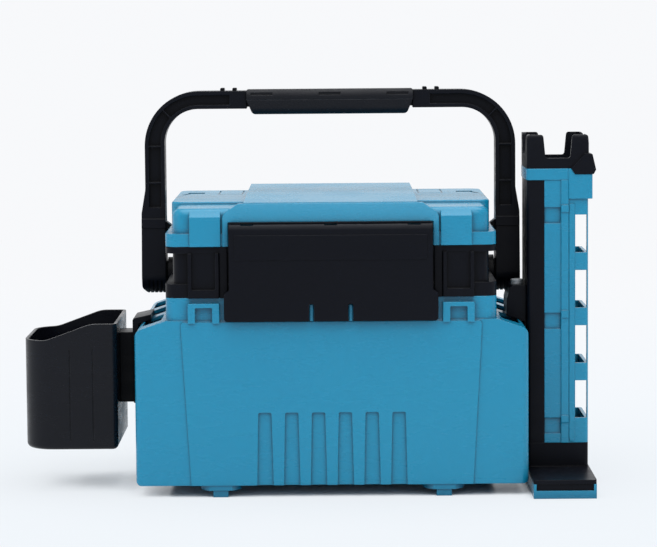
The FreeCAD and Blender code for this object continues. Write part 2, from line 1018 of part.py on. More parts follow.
def seal_ring(low):
    """The rubber seal let into the underside of the lid's flange."""
    side = inner_half + seal_out
    front = inner_front - seal_front
    back = hinge_back - seal_back
    w = seal_width
    return ring(side, front, back, seal_corner, side - w, front + w, back - w, low, lid_z + seal_depth)


def lid_ribs():
    """Ribs under the seat, down to the inner panel."""
    low = lid_top - panel_drop
    ribs = []
    y0 = lid_front + 1
    y1 = hinge_back - 1
    w = lid_rib_thick / 2
    for x in lid_rib_columns:
        ribs.append(block(x - w, x + w, y0, y1, low, seat_top))
    for y in lid_rib_rows:
        ribs.append(block(-lid_half, lid_half, y - w, y + w, low, seat_top))
    for x, y in lid_screw_spots():
        ribs.append(rod_z(x, y, low, seat_top, post_radius))
    return [join(ribs).common(lid_levels(1.0, 1.0))]


def lid_screw_spots():
    x = lid_half - lid_screw_inset
    rows = (lid_front + lid_screw_front, hinge_back - lid_screw_back)
    return [(x * side, y) for side in (-1, 0, 1) for y in rows]


def screw_up_hole(x, y):
    low = lid_top - panel_drop
    return rod_z(x, y, low - tiny, low + lid_screw_depth, screw_radius)


def lid_inner_panel():
    high = lid_top - panel_drop
    low = high - panel_thick
    g = lid_wall + panel_gap
    around = rect(-lid_half + g, lid_half - g, lid_front + g, hinge_back - g, panel_corner_round)
    sheet = plate("XY", around, low, high)
    side = lid_half - g - panel_lip_inset
    front = lid_front + g + panel_lip_inset
    back = hinge_back - g - panel_lip_inset - panel_lip_back
    w = panel_lip_thick
    lip = ring(side, front, back, tray_corner - 1, side - w, front + w, back - w, low - panel_lip_drop, low)
    holes = [rod_z(x, y, low - 1, high + 1, screw_radius) for x, y in lid_screw_spots()]
    return join([sheet, lip]).cut(holes)


def lid_panel_screws():
    low = lid_top - panel_drop - panel_thick
    screws = []
    for x, y in lid_screw_spots():
        head = rod_z(x, y, low - screw_head, low, screw_head_radius)
        shank = rod_z(x, y, low, low + panel_thick + lid_screw_depth, screw_radius)
        screws.append(head.fuse(shank).removeSplitter())
    return screws


def latch_ear_spots():
    return [-latch_ear_spread / 2, 0.0, latch_ear_spread / 2]


def latch_ear(x):
    """An ear on the lid's front that carries the latch pin."""
    w = latch_ear_width / 2
    r = latch_ear_radius
    round_part = rod_x(x - w, x + w, latch_pin_y, latch_pin_z, r)
    neck = block(x - w, x + w, latch_pin_y, lid_front + lid_wall, latch_pin_z - r, latch_pin_z + r)
    return neck.fuse(round_part)


def latch_pin():
    reach = latch_width / 2 - latch_pin_end
    return [rod_x(-reach, reach, latch_pin_y, latch_pin_z, latch_pin_radius)]


def latch_plate():
    front = latch_pin_y - latch_barrel_radius
    back = front + latch_thick
    w, f = latch_width / 2, latch_foot_width / 2
    foot_top_z = latch_bottom + latch_foot_height
    face = [
        (-f, latch_bottom, latch_low_corner),
        (f, latch_bottom, latch_low_corner),
        (f, foot_top_z, latch_corner),
        (w, foot_top_z + latch_shoulder, latch_corner),
        (w, latch_pin_z, 0),
        (-w, latch_pin_z, 0),
        (-w, foot_top_z + latch_shoulder, latch_corner),
        (-f, foot_top_z, latch_corner),
    ]
    flat = plate("XZ", face, front, back)
    rims = [
        edge for edge in flat.Edges
        if edge.BoundBox.YMax < front + tiny and edge.BoundBox.ZMin < latch_pin_z - 1
    ]
    pieces = [flat.makeFillet(latch_round, rims)]
    pieces.append(rod_x(-w, w, latch_pin_y, latch_pin_z, latch_barrel_radius))
    deep = rim_front - latch_side_gap
    hook_back = rim_front - latch_hook_reach
    hook_top = rim_top + catch_drop - latch_hook_gap
    hook = [
        (back - 1, hook_top - latch_hook_height, 0),
        (hook_back, hook_top - latch_hook_height / 2, 0),
        (hook_back, hook_top, 0),
        (back - 1, hook_top, 0),
    ]
    for side in (-1, 1):
        x0, x1 = sorted((side * w, side * (w - latch_thick)))
        pieces.append(block(x0, x1, front + 1, deep, foot_top_z + latch_shoulder, latch_pin_z))
        hook_in, hook_out = sorted((side * (catch_inner + 1), side * (catch_outer - 1)))
        pieces.append(plate("YZ", hook, hook_in, hook_out))
    plate_shape = join(pieces)
    cuts = [rod_x(-half, half, latch_pin_y, latch_pin_z, latch_pin_radius + running_gap)]
    r = latch_barrel_radius
    for x in latch_ear_spots():
        e = latch_ear_width / 2 + side_gap
        y0, y1 = latch_pin_y - r + latch_skin, latch_pin_y + r + 1
        cuts.append(block(x - e, x + e, y0, y1, latch_pin_z - r - 1, latch_pin_z + r + 1))
    for side in (-1, 1):
        x = side * guide_spread / 2
        s = latch_slot_width / 2
        low, high = latch_bottom - latch_slot_run, latch_bottom + latch_slot_height
        slot = rect(x - s, x + s, low, high, s * latch_slot_round)
        cuts.append(plate("XZ", slot, front - 1, back + 1))
    return plate_shape.cut(cuts)


def arm_profile(grow):
    """The handle seen from its side: deep round feet below, a slimmer bar above."""
    r = arm_foot_radius + grow
    d = arm_depth / 2 + grow
    taper_z = pivot_z + arm_taper_height
    bend = arm_foot_radius - arm_bend_less
    return plate(
        "YZ",
        [
            (-r, pivot_z, 0),
            (-r, pivot_z - arm_foot_radius, bend),
            (r, pivot_z - arm_foot_radius, bend),
            (r, pivot_z, 0),
            (d, taper_z, 0),
            (d, handle_top + 1, 0),
            (-d, handle_top + 1, 0),
            (-d, taper_z, 0),
        ],
        -half,
        half,
    )


def handle_lugs():
    """The small upright lugs beside the grip, on top of the bar."""
    lugs = []
    w = lug_width / 2
    for x in (lug_inner, lug_outer):
        shape = [
            (x - w, handle_top - lug_height, 0),
            (x + w, handle_top - lug_height, 0),
            (x + w, handle_top + lug_height, lug_round),
            (x - w, handle_top + lug_height, lug_round),
        ]
        lugs += pair(plate("XZ", shape, -lug_depth / 2, lug_depth / 2))
    return lugs


def arm_stop():
    """The wedge on the inside of the right arm, which steadies the handle against the lid."""
    shape = [
        (arm_inner + 1, pivot_z + stop_high, 0),
        (arm_inner - stop_out, pivot_z + stop_high - stop_slope, stop_round),
        (arm_inner - stop_out, pivot_z + stop_low + stop_slope, stop_round),
        (arm_inner + 1, pivot_z + stop_low, 0),
    ]
    return plate("XZ", shape, -stop_depth / 2, stop_depth / 2)


def foot_grooves():
    """Fine grooves round the lower end of the right foot."""
    r = arm_foot_radius
    grooves = []
    for i in range(groove_count):
        x = arm_inner + groove_first + i * groove_pitch
        shell = rod_x(x, x + groove_width, 0, pivot_z, r + 1)
        shell = shell.cut(rod_x(x, x + groove_width, 0, pivot_z, r - groove_depth))
        grooves.append(shell.common(block(0, half, -2 * r, 2 * r, pivot_z - 2 * r, pivot_z - groove_drop)))
    return grooves


def handle_bow():
    """The moulded bow: two arms and a bar, with ribbed pockets in its front and back."""
    d = arm_depth / 2
    foot = pivot_z - arm_foot_radius
    out = arm_face
    flare_z = pivot_z + arm_flare_height
    slim_z = flare_z + arm_flare_run
    bend = arm_flare_round
    toe = arm_toe_round
    heel = out - arm_foot_corner
    low_bar = handle_top - bar_height
    sides = [
        (-out, foot + arm_foot_round, arm_foot_round),
        (-out, flare_z, bend),
        (-arm_outer, slim_z, bend),
        (-arm_outer, handle_top, bend_outer),
        (arm_outer, handle_top, bend_outer),
        (arm_outer, slim_z, bend),
        (out, flare_z, bend),
        (out, foot + arm_foot_round, arm_foot_round),
        (heel, foot, toe),
        (arm_inner, foot, toe),
        (arm_inner, low_bar, bend_inner),
        (-arm_inner, low_bar, bend_inner),
        (-arm_inner, foot, toe),
        (-heel, foot, toe),
    ]
    r = arm_foot_radius
    blank = plate("XZ", sides, -r, r)
    ridge = blank.common(arm_profile(ridge_proud))
    ridge = ridge.common(block(-half, half, -r, r, pivot_z + ridge_low, pivot_z + ridge_high))
    bow = join([blank.common(arm_profile(0.0)), ridge] + handle_lugs() + pair(arm_stop()))
    core_z = handle_top - bar_height / 2
    g = grip_length / 2
    cuts = []
    slim = (bar_height - grip_core_height) / 2
    for y0, y1 in ((-r, -grip_core_depth / 2), (grip_core_depth / 2, r)):
        cuts.append(block(-g, g, y0, y1, low_bar - 1, handle_top + 1))
    cuts.append(block(-g, g, -r, r, handle_top - slim, handle_top + 1))
    cuts.append(block(-g, g, -r, r, low_bar - 1, low_bar + slim))
    e = pocket_edge
    pocket_z = flare_z + pocket_low
    band = plate(
        "XZ",
        [
            (-arm_outer + e, pocket_z, 0),
            (-arm_outer + e, handle_top - e, bend_outer - e),
            (arm_outer - e, handle_top - e, bend_outer - e),
            (arm_outer - e, pocket_z, 0),
            (arm_inner + e, pocket_z, 0),
            (arm_inner + e, low_bar + e, bend_inner + e),
            (-arm_inner - e, low_bar + e, bend_inner + e),
            (-arm_inner - e, pocket_z, 0),
        ],
        -d - 1,
        d + 1,
    )
    web = d - pocket_depth
    band = band.cut(block(-half, half, -web, web, 0, handle_top + 1))
    band = band.cut(block(-g - pocket_end, g + pocket_end, -r, r, 0, handle_top + 1))
    ribs = []
    for drop in arm_rib_drops:
        z = core_z - drop
        ribs.append(block(-half, half, -r, r, z - arm_rib / 2, z + arm_rib / 2))
    bend_x = arm_outer - bend_outer
    bend_z = handle_top - bend_outer
    for side in (-1, 1):
        rib = block(0, bend_outer, -r, r, -arm_rib / 2, arm_rib / 2)
        angle = -bend_rib_angle if side > 0 else bend_rib_angle - 180
        rib.rotate(Vector(0, 0, 0), Vector(0, 1, 0), angle)
        rib.translate(Vector(side * bend_x, 0, bend_z))
        ribs.append(rib)
    cuts.append(band.cut(ribs))
    for side in (-1, 1):
        x0, x1 = sorted((side * (arm_face - cap_bore_depth), side * (half + 5)))
        cuts.append(rod_x(x0, x1, 0, pivot_z, cap_radius))
    cuts.append(rod_x(-half, half, 0, pivot_z, pivot_radius + running_gap))
    for groove in foot_grooves():
        cuts += pair(groove)
    return bow.cut(cuts)


def grip_half(upper):
    low_bar = handle_top - bar_height
    top = handle_top + grip_proud
    low = top - grip_height
    mid = handle_top - bar_height / 2
    g = grip_length / 2
    d = grip_depth / 2
    z0, z1 = (mid, top) if upper else (low, mid)
    sleeve = plate("YZ", rect(-d, d, low, top, grip_round), -g, g)
    run = g - grip_end_run
    side_view = [
        (-g, mid, 0),
        (-run, low, grip_end_round),
        (run, low, grip_end_round),
        (g, mid, 0),
        (g, top, grip_top_round),
        (-g, top, grip_top_round),
    ]
    ends = plate("XZ", side_view, -d - 1, d + 1)
    slim = (bar_height - grip_core_height) / 2
    w = grip_core_depth / 2
    core = block(-g - 1, g + 1, -w, w, low_bar + slim, handle_top - slim)
    sleeve = sleeve.common(ends).common(block(-g, g, -d - 1, d + 1, z0, z1)).cut(core)
    if upper:
        w = grip_slot_half
        y0, y1 = -d - 1, -d + grip_slot_depth
        z0, z1 = top - grip_slot_low, top - grip_slot_high
        return sleeve.cut([block(x - w, x + w, y0, y1, z0, z1) for x in grip_slot_spots])
    head_top = low + grip_screw_sink + screw_head
    holes = []
    for x in grip_screw_spots:
        holes.append(rod_z(x, 0, low - 1, head_top, screw_head_radius + grip_head_room))
        holes.append(rod_z(x, 0, low, mid, screw_radius))
    return sleeve.cut(holes)


def grip_screws():
    low = handle_top + grip_proud - grip_height + grip_screw_sink
    mid = handle_top - bar_height / 2 - grip_core_height / 2
    screws = []
    for x in grip_screw_spots:
        head = rod_z(x, 0, low, low + screw_head, screw_head_radius)
        screws.append(head.fuse(rod_z(x, 0, low + screw_head, mid, screw_radius)).removeSplitter())
    return screws


def handle_pivot_pins():
    inner = inner_half - pin_head_thick
    outer = arm_face - pin_end_in
    pin = rod_x(inner, outer, 0, pivot_z, pivot_radius)
    pin = pin.fuse(rod_x(inner, inner_half, 0, pivot_z, pin_head_radius))
    flange = arm_face - pin_flange_in
    pin = pin.fuse(rod_x(flange, flange + pin_flange_thick, 0, pivot_z, pin_flange_radius))
    return pair(pin.removeSplitter())


def pivot_caps():
    x0 = arm_face - cap_sunk - cap_length
    cap = rod_x(x0, x0 + cap_length, 0, pivot_z, cap_radius)
    return pair(cap.cut(rod_x(x0 - 1, x0 + cap_length - cap_face, 0, pivot_z, cap_radius - cap_wall)))


def pivot_washers():
    x0 = arm_inner - washer_thick
    washer = rod_x(x0, arm_inner, 0, pivot_z, washer_radius)
    return pair(washer.cut(rod_x(x0 - 1, arm_inner + 1, 0, pivot_z, pivot_radius + running_gap)))


def hook_bracket(thick, low):
    """A plate that lies on the right wing's side and hooks into two slots from above."""
    x0 = half + plate_gap
    x1 = x0 + thick
    inner = rim_half + slot_inner + slot_width - hook_inset
    rest = half - hook_shelf_reach
    shape = [
        (x0, low, 0),
        (x1, low, hook_edge_round),
        (x1, shelf_z(half) + hook_cover, hook_round),
        (inner, shelf_z(inner) + hook_cover, 0),
        (inner, shelf_z(inner), 0),
        (rest, shelf_z(rest), 0),
        (x0, shelf_z(x0), 0),
    ]
    y0 = -hook_middle - hook_width / 2
    y1 = -hook_middle + hook_width / 2
    body = plate("XZ", shape, y0, y1)
    leg_low = shelf_z(inner) - wall - hook_leg_drop
    shank = inner + hook_leg_thick
    toe = inner + hook_toe_reach
    leg = [
        (inner, shelf_z(inner) + hook_leg_root, 0),
        (inner, leg_low, 0),
        (shank, leg_low, 0),
        (toe, shelf_z(toe) - wall - hook_toe_low, 0),
        (toe, shelf_z(toe) - wall - hook_toe_gap, 0),
        (shank, shelf_z(shank) - wall - hook_toe_gap, 0),
        (shank, shelf_z(shank) + hook_leg_root, 0),
    ]
    legs = []
    for leg_y in (y0 + hook_leg_inset, y1 - hook_leg_inset - hook_leg_width):
        legs.append(plate("XZ", leg, leg_y, leg_y + hook_leg_width))
    return join([body] + legs)


def cup_bracket():
    y = -hook_middle
    x = half + plate_gap + hook_plate
    body = hook_bracket(hook_plate, hook_low)
    w, h = rail_web / 2, rail_head / 2
    web = block(x - 1, x + rail_thick, y - w, y + w, rail_low, rail_high)
    head = block(x + rail_thick, x + 2 * rail_thick, y - h, y + h, rail_low, rail_high)
    return flip(join([body, web, head]))


def cup_slide():
    """The channel on the holder's side, which drops over the bracket's rail."""
    y = -hook_middle
    x = half + plate_gap + hook_plate
    g = slide_gap
    high = rail_high + slide_top_gap
    head = rail_head / 2 + g
    web = rail_web / 2 + g
    side = head + slide_wall
    channel = block(x + g, -cup_right, y - side, y + side, hook_low, high + slide_cap)
    cuts = [
        block(x + rail_thick - g, x + 2 * rail_thick + g, y - head, y + head, 0, high),
        block(x, x + rail_thick, y - web, y + web, 0, high),
    ]
    return flip(channel.cut(cuts).removeSplitter())


def cup_shell():
    y0 = -hook_middle - cup_front_reach
    y1 = -hook_middle + cup_back_reach

    def plan(inset, low, high):
        big = cup_outer_corner - inset
        small = cup_inner_corner - inset
        corners = [
            (cup_left + inset, y0 + inset, big),
            (cup_right - inset, y0 + inset, small),
            (cup_right - inset, y1 - inset, small),
            (cup_left + inset, y1 - inset, big),
        ]
        return plate("XY", corners, low, high)

    outer = plan(0, cup_bottom, cup_high_rim)
    floor_edges = [e for e in outer.Edges if e.BoundBox.ZMax < cup_bottom + tiny]
    outer = outer.makeFillet(cup_floor_round, floor_edges)
    hollow = plan(cup_wall, cup_bottom + cup_wall, cup_high_rim + 1)
    shell = outer.cut(hollow)
    dip = plate(
        "XZ",
        [
            (cup_left - 1, cup_low_rim, 0),
            (cup_left + cup_rim_left, cup_low_rim, cup_rim_round),
            (cup_right - cup_rim_right, cup_high_rim, cup_rim_round),
            (cup_right + 1, cup_high_rim, 0),
            (cup_right + 1, cup_high_rim + 5, 0),
            (cup_left - 1, cup_high_rim + 5, 0),
        ],
        y0 - 1,
        y1 + 1,
    )
    lines = []
    for i in range(cup_line_count):
        x = cup_left + cup_line_first + i * cup_line_pitch
        for y in (y0, y1):
            d = cup_line_depth
            low, high = cup_bottom + cup_line_low, cup_low_rim - cup_line_low
            lines.append(block(x, x + cup_line_width, y - d, y + d, low, high))
    return shell.cut([dip] + lines)


def cup_screws():
    y = -hook_middle
    screws = []
    x = cup_right - cup_wall
    for z in (rail_low + cup_screw_inset, rail_high - cup_screw_inset):
        head = rod_x(x - screw_head, x, y, z, screw_head_radius)
        screws.append(head.fuse(rod_x(x, cup_right + cup_screw_reach, y, z, screw_radius)).removeSplitter())
    return screws


def bore_cup(shape):
    """The two screw holes through the holder's wall and into its slide."""
    y = -hook_middle
    holes = []
    for z in (rail_low + cup_screw_inset, rail_high - cup_screw_inset):
        holes.append(rod_x(cup_right - cup_wall - 1, cup_right + cup_screw_reach, y, z, screw_radius))
    return shape.cut(holes)


def tower_tube(x0, x1, low, high, grow=0.0):
    """A closed piece of the tower's square tube between two distances from the middle."""
    t = tower_wall
    around = rect(x0 - grow, x1 + grow, tower_front - grow, tower_back + grow, tower_corner)
    return plate("XY", around, low, high).cut(tower_bore(t, low - 1, high + 1))


def tower_bore(t, low, high):
    """The square inside of the tower, at a distance t from its outer faces."""
    inner = rect(tower_left + t, tower_right - t, tower_front + t, tower_back - t, tower_inner_corner)
    return plate("XY", inner, low, high)


def rod_bracket():
    """The block on the right wing whose tee-shaped key carries the rod stand."""
    y = -hook_middle
    x0 = half + plate_gap
    thick = tower_gap - key_plate_gap
    body = hook_bracket(thick, key_low - bracket_skirt)
    inner = rim_half + slot_inner + slot_width - riser_inset
    top = key_high + riser_high
    riser = [
        (inner, shelf_z(inner), 0),
        (x0, shelf_z(x0), 0),
        (x0 + thick, shelf_z(x0), 0),
        (x0 + thick, top, riser_edge_round),
        (inner + riser_top_inset, top, riser_round),
        (inner, top - riser_slope, riser_round),
    ]
    riser = plate("XZ", riser, y - hook_width / 2, y + hook_width / 2 - riser_short)
    w, h = key_web / 2, key_head / 2
    neck = tower_left + tower_wall + key_gap
    web = block(tower_left - key_plate_gap, neck, y - w, y + w, key_low, key_high)
    head = block(neck, neck + key_head_thick, y - h, y + h, key_low, key_high)
    knob_x, knob_y = knob_spot()
    hole = rod_z(knob_x, knob_y, top - knob_length, top + 1, knob_shank)
    return join([body, riser, web, head]).cut(hole)


def knob_spot():
    x = rim_half + slot_inner + slot_width - riser_inset + knob_in
    return x, -hook_middle - hook_width / 2 + knob_forward


def rod_bracket_screw():
    top = key_high + riser_high
    x, y = knob_spot()
    head = rod_z(x, y, top, top + knob_height, knob_radius)
    return [head.fuse(rod_z(x, y, top - knob_length, top, knob_shank)).removeSplitter()]


def rod_spine():
    x1 = tower_left + spine_width
    t = tower_wall
    spine = tower_tube(tower_left, tower_right, foot_top, collar_left_low)
    front_part = block(tower_left - 1, x1, tower_front - 1, tower_back + 1, foot_top, collar_left_low)
    spine = spine.common(front_part)
    y = -hook_middle
    x0, x2 = tower_left - 1, tower_left + t + 1
    w = key_web / 2 + key_gap
    h = key_head / 2 + key_head_gap
    low = key_low - key_lift - key_end_gap
    slot = block(x0, x2, y - w, y + w, low, key_high + key_top_gap)
    key = block(x0, x2, y - h, y + h, low, key_high - key_lift + key_end_gap)
    cuts = [slot, key]
    x2 = tower_left + spine_groove_depth
    e = spine_groove_end
    back_groove = tower_back - spine_groove_front - spine_groove_width
    for y0 in (tower_front + spine_groove_front, back_groove):
        cuts.append(block(x0, x2, y0, y0 + spine_groove_width, foot_top + e, collar_left_low - e))
    return spine.cut(cuts)


def rod_shell():
    x0 = tower_left + spine_width
    front, back = tower_front, tower_back
    low, high = foot_top, collar_left_low
    shell = tower_tube(tower_left, tower_right, low, high)
    shell = shell.common(block(x0, tower_right + 1, front - 1, back + 1, low, high))
    strip = (x0 + strip_first, x0 + strip_last)
    pieces = [
        shell,
        block(*strip, front - strip_rise, front + 1, low, high),
        block(*strip, back - 1, back + strip_rise, low, high),
    ]
    cuts = []
    right = tower_right - window_post
    left = right - window_width
    inside = front + window_post_depth
    for i in range(window_count):
        z = window_first + i * window_pitch
        cuts.append(block(left, right, front - 1, inside, z, z + window_height))
        cuts.append(block(left, tower_right + 1, inside, back + 1, z, z + window_height))
    tabs = []
    for i in range(clip_count):
        z = clip_first + i * clip_pitch
        top = z + clip_size
        cuts.append(block(x0, x0 + clip_size, front - 1, front + clip_recess, z, top))
        cuts.append(block(x0, x0 + clip_size, back - clip_recess, back + 1, z, top))
        tabs.append(block(*strip, front - tab_rise, front, top - tab_below, top + tab_above))
    return join([join(pieces).cut(cuts)] + tabs)


def rod_collar():
    """The blue band round the tower's top, which seats the crown."""
    band = tower_tube(tower_left, tower_right, collar_left_low, collar_top, collar_grow)
    g = collar_wide_grow
    x0 = tower_right - collar_wide_from_right
    around = rect(x0, tower_right + collar_out, tower_front - g, tower_back + g, tower_corner)
    wide = plate("XY", around, shell_top, collar_top)
    front, back = tower_front - strip_rise, tower_back + strip_rise
    core = block(tower_left - 1, tower_right, front, back, shell_top - 1, collar_left_low)
    hole = tower_bore(tower_wall, shell_top - 1, collar_top + 1)
    return join([band, wide.cut(core)]).cut([hole, crown_flap()])


def crown_flap():
    """The crown's apron over the collar's right side."""
    x = tower_right
    z = collar_top
    shape = [
        (x - flap_in, z - flap_drop, flap_round),
        (x + flap_out, z - flap_drop, flap_round),
        (x + flap_lip_out, z - flap_lip_drop, flap_round),
        (x + flap_top_out, z + flap_high, flap_top_round),
        (x - flap_top_out, z + flap_high, 0),
        (x - flap_root, z, 0),
    ]
    return plate("XZ", shape, tower_front - flap_grow, tower_back + flap_grow)


def rod_crown():
    left, right = tower_left - crown_lip_left, tower_right + crown_lip_right
    front, back = tower_front - crown_lip_left, tower_back + crown_lip_left
    base = plate("XY", rect(left, right, front, back, tower_corner), collar_top, crown_top)
    below = collar_top - crown_reach
    crown = join([base, crown_flap()]).cut(tower_bore(tower_wall, below, crown_top + 1))
    w = prong_outline_width
    side_view = prong_outline(left, right, below, prong_width, crown_notch)
    end_view = prong_outline(front, back, below, prong_depth, crown_notch + prong_round)
    crown = crown.common(plate("YZ", end_view, left - w, right + w))
    return crown.common(plate("XZ", side_view, front - w, back + w))


def prong_outline(start, end, below, width, notch):
    """Two tapered prongs with rounded tops, seen square on, over a wide lower part."""
    wide = prong_outline_width
    shoulder = collar_top + prong_shoulder
    return [
        (start - wide, below, 0),
        (end + wide, below, 0),
        (end + wide, shoulder, 0),
        (end + prong_lean, shoulder, 0),
        (end - prong_lean, crown_top, prong_round),
        (end - width + prong_lean, crown_top, prong_round),
        (end - width - prong_lean, notch, prong_round),
        (start + width + prong_lean, notch, prong_round),
        (start + width - prong_lean, crown_top, prong_round),
        (start + prong_lean, crown_top, prong_round),
        (start - prong_lean, shoulder, 0),
        (start - wide, shoulder, 0),
    ]


def base_plan():
    """The sides, the front and the back of the stand's long base."""
    x0, x1 = tower_left + foot_plate_left, tower_right + foot_plate_right
    return x0, x1, tower_front - base_reach, tower_back + base_reach


def rod_foot():
    """The black lower end of the tower with its long base plate."""
    x0, x1, y0, y1 = base_plan()
    w = base_tray_wall
    top_plate = plate("XY", rect(x0, x1, y0, y1, foot_plate_round), base_tray_side, base_top)
    keel = block(x0 + w, x1 - w, y0 + 1, y1 - 1, base_tray_floor, base_top)
    around = rect(tower_left, tower_right, tower_front, tower_back, tower_corner)
    sock = plate("XY", around, base_top - 1, foot_top)
    cuts = [tower_bore(tower_wall, base_top, foot_top + 1)]
    for x, y in foot_screw_spots():
        cuts.append(rod_z(x, y, base_tray_floor - 1, base_top - foot_screw_cover, screw_radius))
    return join([top_plate, keel, sock]).cut(cuts)


def foot_screw_spots():
    middle = (tower_left + tower_right) / 2
    columns = (middle - foot_screw_side, middle + foot_screw_side)
    rows = (tower_front - base_reach + foot_screw_end, tower_back + base_reach - foot_screw_end)
    return [(x, y) for x in columns for y in rows]


def base_tray():
    x0, x1, y0, y1 = base_plan()
    w = base_tray_wall
    screw_top = ground + foot_screw_sink + screw_head
    tray = block(x0, x1, y0, y1, ground, base_tray_side)
    hollow = block(x0 + w, x1 - w, y0 - 1, y1 + 1, base_tray_floor, base_tray_side + 1)
    holes = []
    for x, y in foot_screw_spots():
        holes.append(rod_z(x, y, ground - 1, base_tray_floor + 1, screw_radius))
        holes.append(rod_z(x, y, ground - 1, screw_top, screw_head_radius + foot_screw_room))
    return tray.cut([hollow] + holes)


def base_screws():
    screws = []
    low = ground + foot_screw_sink
    top = low + screw_head
    for x, y in foot_screw_spots():
        shank = rod_z(x, y, top, base_top - foot_screw_cover, screw_radius)
        screws.append(shank.fuse(rod_z(x, y, low, top, screw_head_radius)).removeSplitter())
    return screws


def butt_pad():
    """The rubber pad that the rod butts stand on."""
    return [tower_bore(tower_wall + pad_gap, base_top, base_top + pad_thick)]


def solids(thing):
    return list(thing) if isinstance(thing, (list, tuple)) else [thing]


NODES = {
    "case_tub": case_tub,
    "collar_frame": collar_frame,
    "collar_screws": collar_screws,
    "inner_tray": inner_tray,
    "tray_dividers": tray_dividers,
    "hinge_pins": hinge_pins,
    "lid_shell": lid_shell,
    "lid_seal": lambda: seal_ring(lid_z),
    "lid_inner_panel": lid_inner_panel,
    "lid_panel_screws": lid_panel_screws,
    "latch_pin": latch_pin,
    "latch_plate": latch_plate,
    "handle_bow": handle_bow,
    "grip_upper": lambda: grip_half(True),
    "grip_lower": lambda: grip_half(False),
    "grip_screws": grip_screws,
    "handle_pivot_pins": handle_pivot_pins,
    "pivot_caps": pivot_caps,
    "pivot_washers": pivot_washers,
    "cup_bracket": cup_bracket,
    "cup_slide": lambda: bore_cup(cup_slide()),
    "cup_shell": lambda: bore_cup(cup_shell()),
    "cup_screws": cup_screws,
    "rod_bracket": rod_bracket,
    "rod_bracket_screw": rod_bracket_screw,
    "rod_spine": rod_spine,
    "rod_shell": rod_shell,
    "rod_collar": rod_collar,
    "rod_crown": rod_crown,
    "rod_foot": rod_foot,
    "base_tray": base_tray,
    "base_screws": base_screws,
    "butt_pad": butt_pad,
}


def main():
    os.makedirs("parts", exist_ok=True)
    made = {name: solids(make()) for name, make in NODES.items()}
    every = [shape for shapes in made.values() for shape in shapes]
    bounds = Part.makeCompound(every).optimalBoundingBox(False)
    shift = Vector(-(bounds.XMin + bounds.XMax) / 2, -(bounds.YMin + bounds.YMax) / 2, -bounds.ZMin)
    for name, shapes in made.items():
        whole = shapes[0] if len(shapes) == 1 else Part.makeCompound(shapes)
        whole.translate(shift)
        whole.exportStep("parts/" + name + ".step")
        count = len(whole.Solids)
        print(name, count, "solids", round(whole.Volume), "mm3", "ok" if whole.isValid() else "INVALID")
    print("shift", shift, bounds)


main()
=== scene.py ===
import json
import math

import bpy
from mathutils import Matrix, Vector


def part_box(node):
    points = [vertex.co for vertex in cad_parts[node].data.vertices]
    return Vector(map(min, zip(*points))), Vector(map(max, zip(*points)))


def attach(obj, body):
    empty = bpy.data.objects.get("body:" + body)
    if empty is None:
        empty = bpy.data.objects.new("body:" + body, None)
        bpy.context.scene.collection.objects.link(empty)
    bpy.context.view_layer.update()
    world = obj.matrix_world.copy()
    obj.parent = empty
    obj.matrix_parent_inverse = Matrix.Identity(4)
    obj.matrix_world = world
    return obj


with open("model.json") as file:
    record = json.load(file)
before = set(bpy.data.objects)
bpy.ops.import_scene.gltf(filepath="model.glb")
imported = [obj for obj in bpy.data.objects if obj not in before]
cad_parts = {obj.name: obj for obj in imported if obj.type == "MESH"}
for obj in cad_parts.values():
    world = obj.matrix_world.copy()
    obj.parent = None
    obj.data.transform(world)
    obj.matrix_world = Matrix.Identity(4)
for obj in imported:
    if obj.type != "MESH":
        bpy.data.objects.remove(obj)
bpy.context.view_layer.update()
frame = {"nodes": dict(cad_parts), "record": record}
scene = bpy.context.scene

# The box is photographed straight from the front with a long lens, from a little above.
CAMERA_PLACE = (0.0183, -2.2421, 0.3803)
CAMERA_LENS = 149.24
CAMERA_PITCH = 5.38
CAMERA_YAW = 0.042
CAMERA_ROLL = 0.453

# Colours as linear red, green and blue
BLUE = (0.0042, 0.216, 0.366, 1.0)
# Where they tint edges, the _WORN colours are real rubbed wear together with a painted highlight.
BLUE_WORN_AND_LIT = (0.07, 0.35, 0.53, 1.0)
BLUE_DEEP = (0.0040, 0.200, 0.360, 1.0)
BLACK = (0.0036, 0.0044, 0.0078, 1.0)
BLACK_WORN = (0.035, 0.038, 0.046, 1.0)
BLACK_DEEP = (0.0024, 0.0030, 0.0055, 1.0)
GREY_PLASTIC = (0.055, 0.060, 0.068, 1.0)
GREY_WORN = (0.13, 0.14, 0.15, 1.0)
STEEL = (0.56, 0.57, 0.58, 1.0)
PALE_GREY = (0.36, 0.38, 0.40, 1.0)
RUBBER = (0.012, 0.012, 0.013, 1.0)
DUST = (0.42, 0.44, 0.46, 1.0)
# The floor is painted darker near the front and brighter towards the backdrop: painted light, as it falls
# across the sweep
FLOOR_NEAR = (0.83, 0.868, 0.905, 1.0)
FLOOR_FAR = (0.935, 0.945, 0.965, 1.0)
AIR = (0.93, 0.95, 0.98, 1.0)
AIR_STRENGTH = 0.72

# The finish of the CAD solids: lengths in metres, angles in degrees
WELD_DISTANCE = 0.00001
CRISP_ANGLE = 28
# Reach of the ambient occlusion that paints shade into the plastics' hollows
PAINTED_SHADE_REACH = 0.018
EDGE_POLISH = 0.10

# The added trims, in metres
PANEL_SIDE = 0.0085
PANEL_TOP, PANEL_BOTTOM = 0.0085, 0.0285
